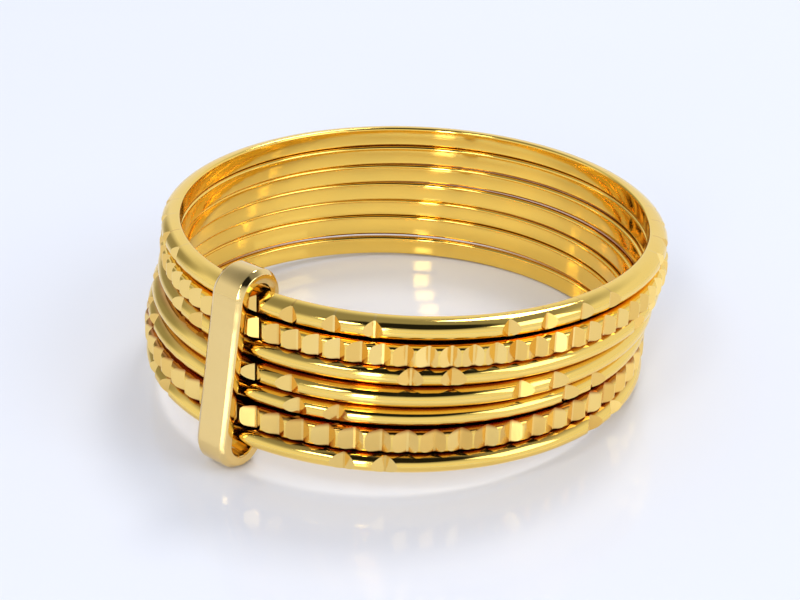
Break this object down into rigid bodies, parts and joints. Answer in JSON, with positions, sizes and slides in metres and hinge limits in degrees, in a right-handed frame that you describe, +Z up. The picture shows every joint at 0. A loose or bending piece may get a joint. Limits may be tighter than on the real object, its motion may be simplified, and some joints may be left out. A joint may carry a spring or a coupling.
{
  "type": "stacked band ring",
  "caption": "Finger ring of thin half-round bands, some plain with V cuts and some fluted all round, held in a stack by one flattened oval loop clip that they run through.",
  "frame": {"origin": "on the surface that the ring rests on, under the middle of its bounding box", "axes": "+Z up from the resting surface, about 3 degrees off the axis of the finger hole because the ring leans on the foot of its clip; -Y towards the side that shows the most of the cut faces, with the clip at the front on the -X side"},
  "size_m": [0.0204, 0.0202, 0.0075],
  "materials": {
    "polished_gold": "polished",
    "polished_gold_clip": "polished"
  },
  "bodies": {
    "clip": {"clip": "polished_gold_clip"},
    "band_1": {"band_1_cut": "polished_gold"},
    "band_2": {"band_2_fluted": "polished_gold"},
    "band_3": {"band_3_cut": "polished_gold"},
    "band_4": {"band_4_cut": "polished_gold"},
    "band_5": {"band_5_cut": "polished_gold"},
    "band_6": {"band_6_fluted": "polished_gold"},
    "band_7": {"band_7_cut": "polished_gold"}
  },
  "joints": [
    {"name": "band_1_turn", "type": "hinge", "parent": "clip", "child": "band_1", "pos_m": [0.00042, 0.00036, 0.00577], "axis": [0.0351, 0.037, 0.9987], "continuous": true},
    {"name": "band_2_turn", "type": "hinge", "parent": "clip", "child": "band_2", "pos_m": [0.00038, 0.0002, 0.00495], "axis": [0.0351, 0.037, 0.9987], "continuous": true},
    {"name": "band_3_turn", "type": "hinge", "parent": "clip", "child": "band_3", "pos_m": [0.00021, 0.00009, 0.00413], "axis": [0.0351, 0.037, 0.9987], "continuous": true},
    {"name": "band_4_turn", "type": "hinge", "parent": "clip", "child": "band_4", "pos_m": [-0.00006, -0.00002, 0.00334], "axis": [0.0351, 0.037, 0.9987], "continuous": true},
    {"name": "band_5_turn", "type": "hinge", "parent": "clip", "child": "band_5", "pos_m": [-0.00027, -0.00002, 0.00256], "axis": [0.0351, 0.037, 0.9987], "continuous": true},
    {"name": "band_6_turn", "type": "hinge", "parent": "clip", "child": "band_6", "pos_m": [-0.00038, -0.00011, 0.00174], "axis": [0.0351, 0.037, 0.9987], "continuous": true},
    {"name": "band_7_turn", "type": "hinge", "parent": "clip", "child": "band_7", "pos_m": [-0.00042, -0.00036, 0.00087], "axis": [0.0351, 0.037, 0.9987], "continuous": true}
  ]
}
